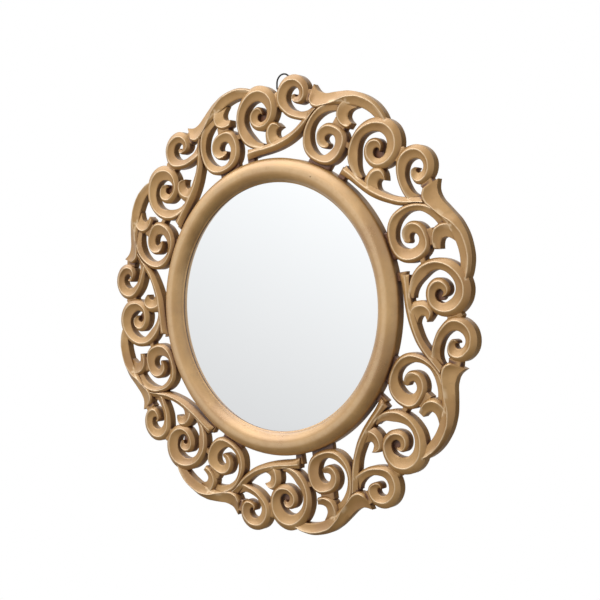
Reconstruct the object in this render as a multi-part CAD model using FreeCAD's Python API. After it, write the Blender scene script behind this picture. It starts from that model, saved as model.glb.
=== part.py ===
import FreeCAD, Part
import math
import os

# Round wall mirror: a turned ring holds a domed glass, and eight carved scroll panels stand round it.
# Front is -Y, +Z is up, and the origin is the middle of the flat back. Sizes are in millimetres.

# ring
sight_radius = 162.0          # edge of the glass that shows
ring_width = 31.0
ring_crest = 22.0             # full thickness, at the top of the half round
ring_outer_spring = 12.5      # where the half round starts, outside
lip_height = 2.0              # from the rebate to the half round, inside
lip_slope = 1.5               # bevel between the sight edge and the half round
rebate_depth = 9.0
rebate_width = 8.0

# glass and its backing
glass_thickness = 3.0
glass_rise = 8.0              # dome height over the sight edge
glass_clearance = 1.0         # round the edge of the glass and of the backing
seat_gap = 0.05               # glass to lip, and backing to glass

# carving
panel_count = 8
panel_phase = 35.6            # clock angle of the first panel's middle
carving_depth = 15.0
bridge_drop = 3.0             # how much lower the bridges between scrolls are
eye_floor = 5.0               # wood left at the bottom of the great volute's eye
glue_line = 0.1
drawn_ring_radius = 193.0     # the panel's plan below is drawn for this ring

# turn buttons
button_count = 6
button_width = 10.0
button_thickness = 1.2
button_bite = 7.0             # how far a closed button reaches over the backing
button_gap = 0.2              # from the flat back to the button, and from the button to the head
screw_radius = 1.6
screw_clearance = 0.06
screw_head_radius = 3.4
screw_head_height = 1.8
head_rounding = 0.8
slot_width = 0.9
slot_depth = 0.8
button_screw_length = 11.0    # below the head

# hanger
strap_width = 14.0
strap_leaf = 1.0              # one layer of the folded strip
strap_length = 30.0           # eye to lower end
strap_hole_shares = (0.3, 0.7)
strap_screw_length = 9.0      # below the strap
wire_radius = 1.1
wire_clearance = 0.06
hanger_axis_height = 282.5    # on a ring of the drawn size, as is the next value
hanger_offset = 6.4           # to the right of the middle, where the panel is solid behind it
loop_side_gap = 2.8           # strap to wire
loop_leg = 8.6
loop_corner = 2.5

# bumpers
bumper_radius = 6.0
bumper_height = 4.6
bumper_rounding = 1.4
bumper_angles = (150.0, 210.0)

ring_outer_radius = sight_radius + ring_width
ring_inner_spring = rebate_depth + lip_height
plan_scale = ring_outer_radius / drawn_ring_radius
panel_step = 360.0 / panel_count
bridge_depth = carving_depth - bridge_drop
rebate_radius = sight_radius + rebate_width
disc_radius = rebate_radius - glass_clearance
back_ring_radius = (rebate_radius + ring_outer_radius) / 2.0
hole_radius = screw_radius + screw_clearance
overrun = 1.0                 # how far a cutter passes the surface it starts from
strap_thickness = 2 * strap_leaf
eye_radius = wire_radius + wire_clearance
hanger_y = eye_radius + strap_leaf
hanger_x = hanger_offset * plan_scale
hanger_z = hanger_axis_height * plan_scale
strap_hole_heights = [hanger_z - share * strap_length for share in strap_hole_shares]
loop_half_width = strap_width / 2 + loop_side_gap + wire_radius

# Plan of one panel, seen from the front with the middle of the mirror below: x to the right and y
# outwards, from the mirror's axis. A volute lists its outer and inner radius at every 45 degrees.
volutes = {
    "inner": {
        "centre": (-50.0, 222.0), "start": 90.0, "step": 45.0,
        "outer": (55.0, 46.5, 41.5, 39.5, 32.8, 31.0, 28.0, 27.0, 22.5, 22.0, 21.0, 17.5, 12.0),
        "inner": (38.5, 35.0, 32.3, 26.5, 21.5, 14.0, 11.0, 9.5, 8.5, 7.5, 7.0, 4.5, 3.5),
    },
    "great": {
        "centre": (19.0, 249.0), "start": 270.0, "step": -45.0,
        "outer": (43.0, 43.5, 41.5, 40.5, 40.5, 35.0, 27.5, 22.5, 20.0, 19.3, 19.0, 16.0, 12.0, 6.5),
        "inner": (36.5, 28.3, 28.0, 24.0, 19.5, 13.5, 11.0, 9.2, 7.5, 6.2, 5.0, 4.0, 3.5, 2.5),
    },
    "small": {
        "centre": (79.0, 261.0), "start": 315.0, "step": -45.0,
        "outer": (46.0, 32.5, 28.5, 31.0, 30.0, 27.0, 24.0, 21.0, 18.0, 11.5, 8.0, 4.5),
        "inner": (30.0, 20.8, 16.3, 15.0, 13.2, 11.3, 8.2, 5.5, 3.4, 2.0, 1.0, 0.5),
    },
}

# A leaf or stem lists its two sides, from root to tip.
leaves = {
    "arch": (
        ((-110, 265), (-100, 263), (-90, 266), (-80, 273), (-70, 280.5), (-60, 287), (-45, 293),
         (-30, 295.5), (-15, 295.5), (0, 291.5), (10, 286)),
        ((-103, 247), (-96, 243), (-88, 245), (-78, 254), (-68, 262), (-58, 268), (-45, 275),
         (-30, 279.5), (-15, 280.5), (0, 278), (10, 274)),
    ),
    "hook": (
        ((-56, 284), (-61, 273), (-61.5, 262), (-58, 253), (-50, 247.5), (-41, 247.5), (-35, 252.5)),
        ((-34, 279), (-42, 272), (-44.5, 266), (-43.5, 261), (-40, 258.5), (-36.5, 257.5), (-34, 256)),
    ),
    "stem": (
        ((-9, 207.5), (5, 209), (20, 209.5), (38, 211), (55, 214), (70, 218.5), (83, 226), (96, 234),
         (110, 244)),
        ((-9, 199), (5, 198.5), (20, 198.5), (38, 199.3), (55, 202.3), (70, 207.3), (83, 213.5),
         (96, 222), (110, 231)),
    ),
    "spur": (
        ((27, 204), (23.5, 211), (23, 218), (24, 225), (28, 232), (35, 236.5), (42, 235.5), (46.5, 232),
         (49.8, 228)),
        ((53, 212), (46, 214), (42, 217.5), (41.3, 221), (42.6, 224), (44.8, 225.4), (46.4, 226.1),
         (47.8, 226.6), (48.8, 226.9)),
    ),
}

# Low bridges that join neighbouring scrolls, and the pads that stand on the ring, as corner points.
bridges = {
    "hook_to_inner": ((-58, 251), (-38, 251), (-37, 241), (-58, 241)),
    "inner_to_great": ((-28, 235), (-16, 235), (-16, 228), (-28, 228)),
    "inner_to_ring": ((-64, 194), (-30, 198), (-30, 184), (-64, 178)),
    "stem_to_ring": ((-14, 206), (-2, 203), (-4, 188), (-14, 188)),
    "great_to_small": ((39, 254), (57, 252), (57, 268), (48, 273), (41, 270)),
    "small_to_next": ((94, 248), (104, 246), (110, 261), (97, 264)),
}
great_eye = (20.5, 247.0, 6.5)  # x, y and radius


def plan_point(x, y):
    return FreeCAD.Vector(x * plan_scale, 0.0, y * plan_scale)


def spline(points):
    curve = Part.BSplineCurve()
    curve.interpolate(points)
    return curve.toShape()


def stroke_face(side_a, side_b):
    """Flat face between two smooth sides, with a rounded tip."""
    end_a, end_b = side_a[-1], side_b[-1]
    along = (end_a + end_b - side_a[-2] - side_b[-2]).normalize()
    tip = (end_a + end_b) * 0.5 + along * (end_a - end_b).Length * 0.4
    edges = [
        spline(side_a),
        Part.Arc(end_a, tip, end_b).toShape(),
        spline(list(reversed(side_b))),
        Part.LineSegment(side_b[0], side_a[0]).toShape(),
    ]
    return front_facing(Part.Face(Part.Wire(Part.__sortEdges__(edges))))


def front_facing(face):
    if face.normalAt(0, 0).y > 0:
        face.reverse()
    return face


def volute_face(volute, grow=0.0):
    cx, cy = volute["centre"]
    sides = ([], [])
    for turn, radii in enumerate(zip(volute["outer"], volute["inner"])):
        angle = math.radians(volute["start"] + turn * volute["step"])
        for side, radius, away in zip(sides, radii, (grow, -grow)):
            reach = radius + away
            side.append(plan_point(cx + reach * math.cos(angle), cy + reach * math.sin(angle)))
    return stroke_face(*sides)


def leaf_face(sides, grow=0.0):
    moved = []
    for side, away in zip(sides, (grow, -grow)):
        root_x, root_y = side[0]
        points = [(root_x - grow, root_y + away)] + [(x, y + away) for x, y in side[1:]]
        moved.append([plan_point(x, y) for x, y in points])
    return stroke_face(*moved)


def polygon_face(corners):
    points = [plan_point(x, y) for x, y in corners]
    return front_facing(Part.Face(Part.makePolygon(points + points[:1])))


def carved(face, depth):
    return face.extrude(FreeCAD.Vector(0, -depth, 0))


def turned(shape, clock_angle):
    """Copy of a shape, turned clockwise as seen from the front."""
    copy = shape.copy()
    copy.rotate(FreeCAD.Vector(0, 0, 0), FreeCAD.Vector(0, 1, 0), clock_angle)
    return copy


def cylinder(radius, y_from, y_to, x=0.0, z=0.0):
    base = FreeCAD.Vector(x, y_from, z)
    return Part.makeCylinder(radius, abs(y_to - y_from), base, FreeCAD.Vector(0, y_to - y_from, 0))


def clock_point(radius, clock_angle):
    angle = math.radians(clock_angle)
    return radius * math.sin(angle), radius * math.cos(angle)


def carved_panel():
    """One panel, with its middle pointing straight up."""
    strokes = [volute_face(volute) for volute in volutes.values()]
    strokes += [leaf_face(sides) for sides in leaves.values()]
    pieces = [carved(face, carving_depth) for face in strokes]
    pieces += [carved(polygon_face(corners), bridge_depth) for corners in bridges.values()]
    eye_x, eye_y, eye_reach = (value * plan_scale for value in great_eye)
    pieces.append(cylinder(eye_reach, 0.0, -eye_floor, eye_x, eye_y))
    body = pieces[0].multiFuse(pieces[1:])
    neighbour = carved(volute_face(volutes["inner"], glue_line), 3 * carving_depth)
    neighbour = neighbour.fuse(carved(leaf_face(leaves["arch"], glue_line), 3 * carving_depth))
    neighbour = turned(neighbour, panel_step)
    neighbour.translate(FreeCAD.Vector(0, carving_depth, 0))
    ring_space = cylinder(ring_outer_radius + glue_line, carving_depth, -2 * carving_depth)
    body = body.cut(neighbour).cut(ring_space).removeSplitter()
    return max(body.Solids, key=lambda solid: solid.Volume)


def ring_moulding():
    corners = [
        (ring_outer_radius, 0.0), (ring_outer_radius, -ring_outer_spring),
        (sight_radius + lip_slope, -ring_inner_spring), (sight_radius, -ring_inner_spring + lip_slope / 2),
        (sight_radius, -rebate_depth), (rebate_radius, -rebate_depth), (rebate_radius, 0.0),
    ]
    points = [FreeCAD.Vector(r, y, 0) for r, y in corners]
    crest = FreeCAD.Vector((points[1].x + points[2].x) / 2, -ring_crest, 0)
    edges = [Part.LineSegment(points[0], points[1]).toShape()]
    edges += [Part.Arc(points[1], crest, points[2]).toShape()]
    edges += [Part.LineSegment(a, b).toShape() for a, b in zip(points[2:], points[3:] + points[:1])]
    section = Part.Face(Part.Wire(edges))
    ring = section.revolve(FreeCAD.Vector(0, 0, 0), FreeCAD.Vector(0, 1, 0), 360)
    for x, z in button_pivots():
        ring = ring.cut(cylinder(hole_radius, overrun, -button_screw_length, x, z))
    return ring


def mirror_glass():
    dome_radius = (sight_radius ** 2 + glass_rise ** 2) / (2 * glass_rise)
    middle = FreeCAD.Vector(0, seat_gap - rebate_depth - glass_rise + dome_radius, 0)
    shell = Part.makeSphere(dome_radius, middle).cut(Part.makeSphere(dome_radius - glass_thickness, middle))
    return shell.common(cylinder(disc_radius, -2 * ring_crest, 0.0)), middle.y, dome_radius


def backing_board(dome_y, dome_radius):
    glass_back = dome_y - math.sqrt((dome_radius - glass_thickness) ** 2 - disc_radius ** 2)
    return cylinder(disc_radius, 0.0, glass_back + seat_gap)


def button_pivots():
    return [clock_point(back_ring_radius, 360.0 * n / button_count) for n in range(button_count)]


def turn_button():
    """Closed button at the top of the ring, reaching down over the backing."""
    half = button_width / 2
    low = disc_radius - button_bite + half
    y_from, y_to = button_gap, button_gap + button_thickness
    plate = Part.makeBox(button_width, button_thickness, back_ring_radius - low,
                         FreeCAD.Vector(-half, y_from, low))
    plate = plate.multiFuse([cylinder(half, y_from, y_to, 0, low),
                             cylinder(half, y_from, y_to, 0, back_ring_radius)]).removeSplitter()
    return plate.cut(cylinder(hole_radius, y_from - overrun, y_to + overrun, 0, back_ring_radius))


def outer_rim(disc, y):
    return [edge for edge in disc.Edges if abs(edge.CenterOfMass.y - y) < 1e-6]


def pan_screw(x, z, seat, length):
    """Screw that points forwards, its head's underside at y = seat."""
    top = seat + screw_head_height
    head = cylinder(screw_head_radius, seat, top, x, z)
    head = head.makeFillet(head_rounding, outer_rim(head, top))
    head = head.fuse(cylinder(screw_radius, seat, seat - length, x, z))
    reach = screw_head_radius + overrun
    corner = FreeCAD.Vector(x - reach, top - slot_depth, z - slot_width / 2)
    return head.cut(Part.makeBox(2 * reach, slot_depth + overrun, slot_width, corner))


def button_screws():
    seat = 2 * button_gap + button_thickness
    return [pan_screw(x, z, seat, button_screw_length) for x, z in button_pivots()]


def hanger_strap():
    half = strap_width / 2
    low = hanger_z - strap_length + half
    left = hanger_x - half
    plate = Part.makeBox(strap_width, strap_thickness, hanger_z - low, FreeCAD.Vector(left, 0, low))
    plate = plate.fuse(cylinder(half, 0, strap_thickness, hanger_x, low))
    axis_start = FreeCAD.Vector(left, hanger_y, hanger_z)
    knuckle = Part.makeCylinder(eye_radius + strap_leaf, strap_width, axis_start, FreeCAD.Vector(1, 0, 0))
    eye = Part.makeCylinder(eye_radius, strap_width, axis_start, FreeCAD.Vector(1, 0, 0))
    strap = plate.fuse(knuckle).cut(eye)
    for height in strap_hole_heights:
        strap = strap.cut(cylinder(hole_radius, -overrun, strap_thickness + overrun, hanger_x, height))
    return strap.removeSplitter()


def hanger_strap_screws():
    return [pan_screw(hanger_x, height, strap_thickness, strap_screw_length + strap_thickness)
            for height in strap_hole_heights]


def wire_bend(middle, radius, start, sweep):
    """Part of a wire ring in the upright plane, from start, by sweep degrees from +X towards +Z."""
    centre = FreeCAD.Vector(0, 0, 0)
    bend = Part.makeTorus(radius, wire_radius, centre, FreeCAD.Vector(0, 0, 1), 0, 360, sweep)
    bend.rotate(centre, FreeCAD.Vector(0, 0, 1), start)
    bend.rotate(centre, FreeCAD.Vector(1, 0, 0), 90)
    bend.translate(FreeCAD.Vector(middle[0], hanger_y, middle[1]))
    return bend


def wire_rod(start, end):
    a = FreeCAD.Vector(start[0], hanger_y, start[1])
    b = FreeCAD.Vector(end[0], hanger_y, end[1])
    return Part.makeCylinder(wire_radius, (b - a).Length, a, b - a)


def hanger_ring():
    inner = loop_half_width - loop_corner
    low = hanger_z + loop_corner
    high = hanger_z + loop_leg
    pieces = [
        wire_rod((-inner, hanger_z), (inner, hanger_z)),
        wire_bend((inner, low), loop_corner, 270, 90),
        wire_rod((loop_half_width, low), (loop_half_width, high)),
        wire_bend((0, high), loop_half_width, 0, 180),
        wire_rod((-loop_half_width, high), (-loop_half_width, low)),
        wire_bend((-inner, low), loop_corner, 180, 90),
    ]
    ring = pieces[0].multiFuse(pieces[1:])
    ring.translate(FreeCAD.Vector(hanger_x, 0, 0))
    return ring


def wall_bumper(clock_angle):
    x, z = clock_point(back_ring_radius, clock_angle)
    pad = cylinder(bumper_radius, 0, bumper_height, x, z)
    return pad.makeFillet(bumper_rounding, outer_rim(pad, bumper_height))


def export(name, shape):
    solids = shape.Solids
    valid = all(solid.isValid() for solid in solids)
    print(f"{name}: {len(solids)} solid(s), valid {valid}, volume {shape.Volume:.0f} mm3")
    shape.exportStep(f"parts/{name}.step")


os.makedirs("parts", exist_ok=True)

panel = carved_panel()
pilot_depth = strap_screw_length + overrun
pilot_holes = [cylinder(hole_radius, overrun, -pilot_depth, hanger_x, height) for height in strap_hole_heights]
for number in range(panel_count):
    placed = turned(panel, panel_phase + panel_step * number)
    for hole in pilot_holes:
        if placed.common(hole).Solids:
            placed = placed.cut(hole)
    export(f"carved_panel_{number + 1}", placed)

glass, dome_y, dome_radius = mirror_glass()
export("ring_moulding", ring_moulding())
export("mirror_glass", glass)
export("backing_board", backing_board(dome_y, dome_radius))
for number in range(button_count):
    export(f"turn_button_{number + 1}", turned(turn_button(), 360.0 * number / button_count))
export("turn_button_screws", Part.makeCompound(button_screws()))
export("hanger_strap", hanger_strap())
export("hanger_strap_screws", Part.makeCompound(hanger_strap_screws()))
export("hanger_ring", hanger_ring())
export("wall_bumper_right", wall_bumper(bumper_angles[0]))
export("wall_bumper_left", wall_bumper(bumper_angles[1]))
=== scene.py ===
import bpy
import math
from mathutils import Matrix, Vector, noise
from mathutils.bvhtree import BVHTree


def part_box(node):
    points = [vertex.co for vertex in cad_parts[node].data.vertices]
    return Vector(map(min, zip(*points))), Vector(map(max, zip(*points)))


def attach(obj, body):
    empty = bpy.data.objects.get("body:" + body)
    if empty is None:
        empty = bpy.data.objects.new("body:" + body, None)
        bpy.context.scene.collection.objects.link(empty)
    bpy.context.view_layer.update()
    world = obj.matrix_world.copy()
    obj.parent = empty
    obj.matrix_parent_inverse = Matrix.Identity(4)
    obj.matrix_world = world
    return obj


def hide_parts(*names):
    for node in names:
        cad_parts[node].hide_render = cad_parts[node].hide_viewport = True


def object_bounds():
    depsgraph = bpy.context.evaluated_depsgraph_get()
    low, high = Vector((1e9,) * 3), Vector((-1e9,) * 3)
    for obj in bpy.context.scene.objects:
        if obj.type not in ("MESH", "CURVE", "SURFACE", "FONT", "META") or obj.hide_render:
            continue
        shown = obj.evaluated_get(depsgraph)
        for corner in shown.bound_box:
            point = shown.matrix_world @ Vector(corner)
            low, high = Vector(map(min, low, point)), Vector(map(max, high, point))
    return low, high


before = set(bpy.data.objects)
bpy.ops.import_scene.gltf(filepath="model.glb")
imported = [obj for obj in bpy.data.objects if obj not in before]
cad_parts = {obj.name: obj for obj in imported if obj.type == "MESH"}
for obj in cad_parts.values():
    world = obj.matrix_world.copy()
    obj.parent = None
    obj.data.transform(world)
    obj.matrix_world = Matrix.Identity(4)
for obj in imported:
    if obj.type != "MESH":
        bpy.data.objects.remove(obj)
cadBox = [list(corner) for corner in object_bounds()]
bpy.ops.object.select_all(action="DESELECT")
mm = 0.001  # sizes below are in millimetres


# small helpers

def onlyActive(piece):
    bpy.ops.object.select_all(action="DESELECT")
    piece.select_set(True)
    bpy.context.view_layer.objects.active = piece


def applyAll(piece):
    onlyActive(piece)
    for modifier in list(piece.modifiers):
        bpy.ops.object.modifier_apply(modifier=modifier.name)


def placed(name, data):
    piece = bpy.data.objects.new(name, data)
    bpy.context.scene.collection.objects.link(piece)
    return piece


def newPiece(name, points, faces, edges=()):
    mesh = bpy.data.meshes.new(name)
    mesh.from_pydata(points, edges, faces)
    return placed(name, mesh)


def rod(radius, length, place, sides):  # along the Y axis, with its middle at the place
    middle = [value * mm for value in place]
    bpy.ops.mesh.primitive_cylinder_add(vertices=sides, radius=radius * mm, depth=length * mm,
                                        location=middle, rotation=(math.pi / 2, 0, 0))
    piece = bpy.context.active_object
    bpy.ops.object.transform_apply()
    return piece


def openMesh(piece):
    onlyActive(piece)
    bpy.ops.object.mode_set(mode="EDIT")
    bpy.ops.mesh.select_all(action="SELECT")


def turnOutwards(piece):
    openMesh(piece)
    bpy.ops.mesh.remove_doubles(threshold=0.005 * mm)
    bpy.ops.mesh.normals_make_consistent(inside=False)
    bpy.ops.object.mode_set(mode="OBJECT")


def smoothStep(low, high, value):
    share = min(max((value - low) / (high - low), 0.0), 1.0)
    return share * share * (3 - 2 * share)


def keyed(keys, share):  # a plain number, or numbers spread evenly along a stroke
    if not isinstance(keys, (list, tuple)):
        return keys
    place = share * (len(keys) - 1)
    index = min(int(place), len(keys) - 2)
    return keys[index] + (keys[index + 1] - keys[index]) * (place - index)


def curved(values, steps):  # a smooth row through values, with steps to each gap
    row = []
    last = len(values) - 1
    for index in range(last):
        before, start = values[max(index - 1, 0)], values[index]
        end, after = values[index + 1], values[min(index + 2, last)]
        for step in range(steps):
            t = step / steps
            a = (end - before) * 0.5
            b = (after - start) * 0.5
            row.append(start * (2 * t ** 3 - 3 * t * t + 1) + a * (t ** 3 - 2 * t * t + t)
                       + end * (3 * t * t - 2 * t ** 3) + b * (t ** 3 - t * t))
    row.append(values[last])
    return row


# carved panels: one motif, drawn upright with the mirror's middle below it, x to the right and y outwards

carving = {
    "count": 8, "phase": 35.6, "ringRadius": 193.0, "glueLine": 0.03, "bridgeHeight": 11.0, "padHeight": 8.5,
    "bridgeRounding": 1.6, "scrollSteps": 7, "leafSteps": 5, "cut": 40.0, "cutSides": 360,
    "eye": (20.5, 247.0, 6.5), "eyeFloor": 5.0, "eyeSides": 16,
}

# Stroke heights are written for carving 13.5 mm deep, and heightScale brings them to 15 mm.
# The crown sinks by tipFall towards a round tip, and by bevelFall over the length of a bevel.
section = {
    "heightScale": 1.11, "edge": 0.45, "edgeShare": 0.2, "widest": 0.9, "outerShares": (0.35, 0.6),
    "innerShares": (0.6, 0.4, 0.2), "rub": 0.5, "rubShare": 0.12, "rubFall": 0.35, "rubFar": 2.4,
    "tipFall": 2.2, "tipAngle": 84.0, "tipSteps": 5, "bevelFall": 2.4, "bevelAbove": 0.6,
}

# A scroll lists its outer and inner radius at every 45 degrees. The arris is the raised line along each
# stroke: shoulder is how far it stands from the outer side, crown its height, and the drops how far the
# sides lie below it.
scrolls = {
    "inner": {
        "centre": (-50.0, 222.0), "start": 90.0, "step": 45.0,
        "outer": [55.0, 46.5, 41.5, 39.5, 32.8, 31.0, 28.0, 27.0, 22.5, 22.0, 21.0, 17.5, 12.0],
        "inner": [38.5, 35.0, 32.3, 26.5, 21.5, 14.0, 11.0, 9.5, 8.5, 7.5, 7.0, 4.5, 3.5],
        "shoulder": [2.5, 3.2, 3.8, 4.2, 4.2, 4.2, 4.2, 4.2, 4.2, 4.0, 3.6, 2.8, 1.8],
        "crown": [8.5, 12.8, 13.2, 13.4, 13.5, 13.5, 13.5, 13.5, 13.4, 13.3, 13.2, 12.8, 12.0],
        "outerDrop": [1.0, 2.6, 3.2, 3.4, 3.4], "outerCurve": 0.22,
        "innerDrop": [1.5, 3.0, 3.4, 3.8, 3.8, 3.6, 3.2, 2.6], "innerCurve": -0.34,
    },
    "great": {
        "centre": (19.0, 249.0), "start": 270.0, "step": -45.0,
        "outer": [43.0, 43.5, 41.5, 40.5, 40.5, 35.0, 27.5, 22.5, 20.0, 19.3, 19.0, 16.0, 12.0, 6.5],
        "inner": [36.5, 28.3, 28.0, 24.0, 19.5, 13.5, 11.0, 9.2, 7.5, 6.2, 5.0, 4.0, 3.5, 2.5],
        "shoulder": [1.6, 3.8, 5.0, 7.0, 8.2, 7.8, 6.4, 5.4, 5.8, 5.4, 4.6, 3.6, 2.6, 1.2],
        "crown": [10.5, 13.2, 13.8, 14.0, 14.0, 13.9, 13.8, 13.7, 13.6, 13.4, 13.2, 13.0, 12.5, 11.6],
        "outerDrop": [1.6, 3.4, 3.8, 3.8, 3.4, 3.4, 3.2, 2.6], "outerCurve": 0.22,
        "innerDrop": [1.2, 3.4, 4.0, 4.2, 4.0, 3.6, 3.4, 3.0, 2.4], "innerCurve": -0.34,
    },
    "small": {
        "centre": (79.0, 261.0), "start": 315.0, "step": -45.0,
        "outer": [46.0, 32.5, 28.5, 31.0, 30.0, 27.0, 24.0, 21.0, 18.0, 11.5, 8.0, 4.5],
        "inner": [30.0, 20.8, 16.3, 15.0, 13.2, 11.3, 8.2, 5.5, 3.4, 2.0, 1.0, 0.5],
        "shoulder": [2.0, 3.6, 4.2, 5.0, 6.0, 7.2, 7.2, 5.6, 4.4, 2.8, 1.8, 0.9],
        "crown": [9.0, 12.8, 13.3, 13.5, 13.5, 13.5, 13.5, 13.4, 13.2, 13.0, 12.6, 12.0],
        "outerDrop": [1.5, 3.0, 3.4, 3.4, 3.4, 3.4, 3.0, 2.2], "outerCurve": 0.22,
        "innerDrop": [1.2, 3.0, 3.6, 3.8, 3.8, 3.6, 3.0, 2.0], "innerCurve": -0.34,
    },
}

# A leaf lists its two sides from root to tip. The flared arch has its arris near the inner side at the root.
leaves = {
    "arch": {
        "outer": [(-112.5, 266), (-101, 263), (-90, 266), (-80, 273), (-70, 280.5), (-60, 287), (-45, 293),
                  (-30, 295.5), (-15, 295.5), (0, 291.5), (10, 286)],
        "inner": [(-106, 246), (-97, 242.5), (-88, 245), (-78, 254), (-68, 262), (-58, 268), (-45, 275),
                  (-30, 279.5), (-15, 280.5), (0, 278), (10, 274)],
        "shoulder": [16.6, 17.8, 18.0, 16.4, 14.2, 9.2, 5.4, 4.0, 3.4, 2.8, 2.4],
        "crown": [13.2, 13.5, 13.5, 13.5, 13.5, 13.5, 13.5, 13.5, 13.4, 13.0, 12.0],
        "outerDrop": [5.0, 5.0, 4.6, 4.6, 4.8, 4.6, 4.2, 4.0, 3.8, 3.2, 2.6],
        "outerCurve": [-0.42, -0.42, -0.4, -0.34, -0.26, -0.1, 0.1, 0.2, 0.2, 0.2, 0.2],
        "innerDrop": [2.0, 2.0, 2.0, 2.2, 2.8, 3.4, 3.8, 3.8, 3.6, 3.2, 2.6],
        "innerCurve": [0.2, 0.2, 0.2, 0.1, 0.0, -0.2, -0.34, -0.34, -0.34, -0.3, -0.2],
        "rootBevel": 2.6,
    },
    "hook": {
        "outer": [(-58, 280), (-61, 271), (-61.5, 262), (-58, 253), (-50, 247.5), (-41, 246.5),
                  (-32.5, 248.5)],
        "inner": [(-37, 277), (-42, 271.5), (-44.5, 266), (-43.5, 261), (-40, 258.5), (-36.5, 257.5),
                  (-32, 257)],
        "shoulder": [3.0, 3.2, 3.6, 3.8, 3.8, 3.2, 2.4],
        "crown": [8.0, 11.6, 13.1, 13.3, 13.2, 13.0, 12.8],
        "outerDrop": [0.8, 2.6, 3.2, 3.2, 3.2, 3.0, 2.4], "outerCurve": 0.22,
        "innerDrop": [0.6, 3.0, 4.0, 4.0, 3.6, 3.0, 2.4], "innerCurve": -0.34,
        "tipBevel": 1.2,
    },
    "stem": {
        "outer": [(-11.5, 197), (5, 198.5), (20, 198.5), (38, 199.3), (55, 202.3), (70, 207.3), (83, 213.5),
                  (96, 222), (110, 231)],
        "inner": [(-9, 211), (5, 209.5), (20, 209.5), (38, 211), (55, 214), (70, 218.5), (83, 226), (96, 234),
                  (110, 244)],
        "shoulder": [8.4, 7.0, 6.4, 6.4, 6.0, 5.6, 5.4, 5.2, 5.0],
        "crown": [12.4, 13.0, 13.2, 13.3, 13.3, 13.3, 13.2, 13.2, 13.2],
        "outerDrop": [3.0, 3.8, 4.0, 4.0, 3.8, 3.6, 3.4, 3.4, 3.4], "outerCurve": 0.24,
        "innerDrop": [1.6, 1.6, 1.4, 1.6, 2.2, 2.8, 3.0, 3.0, 3.0], "innerCurve": -0.2,
        "rootBevel": 1.4,
    },
    "spur": {
        "outer": [(27, 204), (23.5, 211), (23, 218), (24, 225), (28, 232), (35, 236.5), (42, 235.5),
                  (46.5, 232), (49.8, 228)],
        "inner": [(53, 212), (46, 214), (42, 217.5), (41.3, 221), (42.6, 224), (44.8, 225.4), (46.4, 226.1),
                  (47.8, 226.6), (48.8, 226.9)],
        "shoulder": [8.0, 7.4, 6.6, 6.2, 5.8, 5.0, 4.0, 2.6, 1.2],
        "crown": [11.4, 12.8, 13.2, 13.3, 13.3, 13.2, 13.0, 12.6, 12.0],
        "outerDrop": [2.0, 3.0, 3.4, 3.4, 3.2, 2.8, 2.4, 1.8, 1.0], "outerCurve": 0.22,
        "innerDrop": [1.0, 3.0, 4.0, 4.0, 3.6, 3.0, 2.4, 1.8, 1.0], "innerCurve": -0.34,
    },
}

bridges = {  # low necks between the scrolls, and the pads that stand on the ring
    "hookToInner": [(-58, 251), (-38, 251), (-37, 241), (-58, 241)],
    "innerToGreat": [(-28, 235), (-16, 235), (-16, 228), (-28, 228)],
    "innerToRing": [(-64, 194), (-30, 198), (-30, 184), (-64, 178)],
    "stemToRing": [(-14, 206), (-2, 203), (-4, 188), (-14, 188)],
    "greatToSmall": [(39, 254), (57, 252), (57, 268), (48, 273), (41, 270)],
    "smallToNext": [(94, 248), (104, 246), (110, 261), (97, 264)],
}


def scrollSides(scroll):
    cx, cy = scroll["centre"]
    steps = carving["scrollSteps"]
    sides = []
    for key in ("outer", "inner"):
        side = []
        for index, radius in enumerate(curved(scroll[key], steps)):
            angle = math.radians(scroll["start"] + scroll["step"] * index / steps)
            side.append(Vector((cx + radius * math.cos(angle), cy + radius * math.sin(angle))))
        sides.append(side)
    return sides


def leafSides(leaf):
    return [curved([Vector(point) for point in leaf[key]], carving["leafSteps"])
            for key in ("outer", "inner")]


def sideHeight(low, high, share, curve):  # curve above 0 bulges, below 0 hollows
    return low + (high - low) * (share + 2 * curve * share * (1 - share))


def sectionRow(width, values):  # distance from the outer side, and height, across one stroke
    v = section
    edge = v["edge"]
    shoulder = min(values["shoulder"], width * v["widest"])
    scoop = width - shoulder
    crown = values["crown"]
    outerTop, innerTop = crown - values["outerDrop"], crown - values["innerDrop"]
    row = [(0.0, 0.0), (0.0, outerTop * 0.5), (0.0, outerTop - edge)]
    row.append((min(edge, shoulder * v["edgeShare"]), outerTop))
    for share in v["outerShares"]:
        row.append((shoulder * share, sideHeight(outerTop, crown, share, values["outerCurve"])))
    near = min(v["rub"], shoulder * v["rubShare"], scoop * v["edgeShare"])
    far = v["rubFar"] * near
    row.append((shoulder - far, sideHeight(outerTop, crown, 1 - far / shoulder, values["outerCurve"])))
    beside = crown - v["rubFall"] * near
    row += [(shoulder - near, beside), (shoulder, crown), (shoulder + near, beside)]
    for share in (1 - far / scoop, *v["innerShares"]):
        row.append((width - scoop * share, sideHeight(innerTop, crown, share, values["innerCurve"])))
    row += [(width - min(edge, scoop * v["edgeShare"]), innerTop), (width, innerTop - edge)]
    row += [(width, innerTop * 0.5), (width, 0.0)]
    return row


def roundEnd(outer, inner):  # extra stations that close an end in a half circle
    middle = (outer[-1] + inner[-1]) * 0.5
    across = (inner[-1] - outer[-1]) * 0.5
    ahead = ((outer[-1] + inner[-1]) - (outer[-2] + inner[-2])).normalized() * across.length
    steps = section["tipSteps"]
    for step in range(1, steps + 1):
        angle = math.radians(section["tipAngle"]) * step / steps
        centre = middle + ahead * math.sin(angle)
        half = across * math.cos(angle)
        outer.append(centre - half)
        inner.append(centre + half)


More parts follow.
